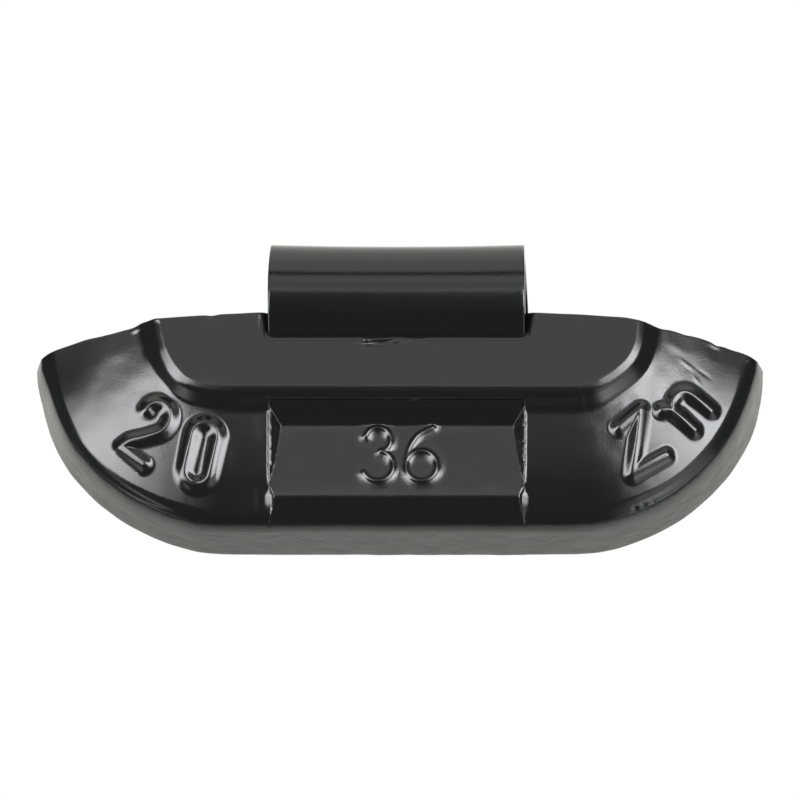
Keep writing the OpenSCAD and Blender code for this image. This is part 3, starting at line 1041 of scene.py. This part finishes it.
def tentGlow(direction):
    # The glow in a direction depends on the tilt and the bearing of the surface normal that
    # mirrors it into the camera: white above, dark below, a soft lamp on either side. The
    # fades are in degrees: of tilt away from the front, of bearing down from level, of the
    # direction's own height, or round from the front.
    t = tent
    normal = direction + np.array(lookFrom(shot["yaw"], shot["pitch"]))
    normal /= np.linalg.norm(normal, axis=1)[:, None]
    tilt = np.degrees(np.arccos(np.clip(-normal[:, 1], -1, 1)))
    bearing = np.degrees(np.arctan2(-normal[:, 2], np.abs(normal[:, 0])))
    height = np.degrees(np.arcsin(direction[:, 2]))
    around = np.degrees(np.arctan2(direction[:, 0], -direction[:, 1]))
    right = normal[:, 0] > 0

    # the white part: seen by surfaces that face the camera or look level or upwards
    sideways = fadeOut(bearing, 18, 14) * fadeOut(tilt, np.where(right, 38, 34), 5)
    above = np.maximum(fadeOut(tilt, 5.9, 2.4), sideways)
    above = np.maximum(above, fadeOut(bearing, -35, 15))
    shade = t["shade"] * fadeIn(tilt, 10, 6) * fadeIn(bearing, -2, 4)
    glow = t["white"] * (1 - shade) + t["strip"] * fadeIn(tilt, 0.2, 2.5) * fadeIn(bearing, 20, 30)
    upper = fadeOut(bearing, 0, 30) * fadeIn(tilt, 0.3, 2.5)
    glow += t["upper"] * upper + t["sky"] * fadeIn(height, 40, 45)
    glow += t["upperEdge"] * upper * fadeOut(tilt, 24, 10)
    glow -= t["band"] * np.exp(-((height - t["bandHeight"]) / t["bandWidth"]) ** 2)
    glow = t["dark"] + (glow - t["dark"]) * above

    # behind the weight
    behind = np.where(around > 0, t["rightBack"], t["leftBack"]) + t["backRise"] * fadeIn(height, 0, 40)
    glow += (behind - glow) * fadeIn(np.abs(around), 122, 18)

    # the lamps: each spans a ring of tilts, wider on the left, and fades out downwards
    late = bearing - 0.15 * (tilt - 5)
    bulge = np.where(right, 0, 9) * np.exp(-((bearing - 40) / 12) ** 2)
    widest = 38 - 7 * fadeIn(bearing, 50, 16) + bulge
    span = fadeIn(tilt, 4, 2.5) * fadeOut(tilt, widest + 1.5, 2.5)
    span = span * fadeIn(np.abs(around), np.where(right, *t["lampEdge"]), 8)
    leftFade = 0.95 * fadeOut(bearing, 81, 46) + 0.05 * fadeOut(bearing, 96, 24)
    leftLamp = t["left"] * fadeIn(late, 12, 24) * leftFade
    rightLamp = t["right"] * fadeIn(late, 5.5, 19) * fadeOut(bearing, 74, 42)
    glow += span * np.where(right, rightLamp, leftLamp) * (1 + 0.3 * fadeOut(tilt, 14, 8))

    # a weak light low on the right, and a small spot low on both sides
    low = fadeIn(tilt, 36, 4) * fadeOut(tilt, 60, 6) * fadeIn(bearing, 35, 12) * fadeOut(bearing, 74, 12)
    glow += np.where(right, t["low"], 0) * low
    return glow + t["spot"] * np.exp(-((tilt - 51) / 1.5) ** 2 - ((bearing - 60) / 9) ** 2)


def buildTent():
    # points at even steps of bearing and height on a ball, which is flat just above the floor
    s, t = studio, tent
    az, el = np.meshgrid(np.radians(np.arange(-180, 180.1, t["spacing"])),
                         np.radians(np.arange(-89, 89.1, t["spacing"])), indexing="ij")
    direction = np.stack([np.sin(az) * np.cos(el), -np.cos(az) * np.cos(el), np.sin(el)], 2)
    direction = direction.reshape(-1, 3)
    m, k = az.shape
    i, j = np.arange(m - 1)[:, None] * k, np.arange(k - 1)[None, :]
    quads = np.stack([i + j, i + j + 1, i + k + j + 1, i + k + j], 2).reshape(-1, 4)
    toFloor = (s["floorZ"] + t["floorGap"]) / np.minimum(direction[:, 2], -1e-4)
    reach = np.minimum(t["radius"], toFloor)
    mesh = bpy.data.meshes.new("tent")
    mesh.from_pydata((direction * reach[:, None]).tolist(), [], quads.tolist())
    glow = mesh.attributes.new("glow", "FLOAT", "POINT")
    glow.data.foreach_set("value", tentGlow(direction).astype(np.float32))
    height = np.degrees(np.arcsin(direction[:, 2]))
    fromFront = np.degrees(np.arccos(np.clip(-direction[:, 1], -1, 1)))
    warm = np.maximum(fadeIn(height, *t["warmAbove"]), fadeIn(fromFront, *t["warmBehind"]))[:, None]
    tint = np.array([t["coolTint"]]) * (1 - warm) + np.array([t["warmTint"]]) * warm
    colour = mesh.attributes.new("tint", "FLOAT_COLOR", "POINT")
    rgba = np.hstack([tint, np.ones_like(warm)]).astype(np.float32)
    colour.data.foreach_set("color", rgba.ravel())
    mat = emissive("tent", (1, 1, 1, 1), 1)
    nodes, links = mat.node_tree.nodes, mat.node_tree.links
    hue = nodes.new("ShaderNodeAttribute")
    hue.attribute_name = "tint"
    links.new(hue.outputs["Color"], nodes["Emission"].inputs["Color"])
    read = nodes.new("ShaderNodeAttribute")
    read.attribute_name = "glow"
    links.new(read.outputs["Fac"], nodes["Emission"].inputs["Strength"])
    mesh.materials.append(mat)
    piece = bpy.data.objects.new("tent", mesh)
    bpy.context.scene.collection.objects.link(piece)
    piece.visible_camera = piece.visible_shadow = piece.visible_transmission = False
    piece.visible_diffuse = False  # only mirrored rays see it


buildStudio()
buildTent()
scene = bpy.context.scene
scene.view_settings.view_transform = "Standard"
print("studio built")
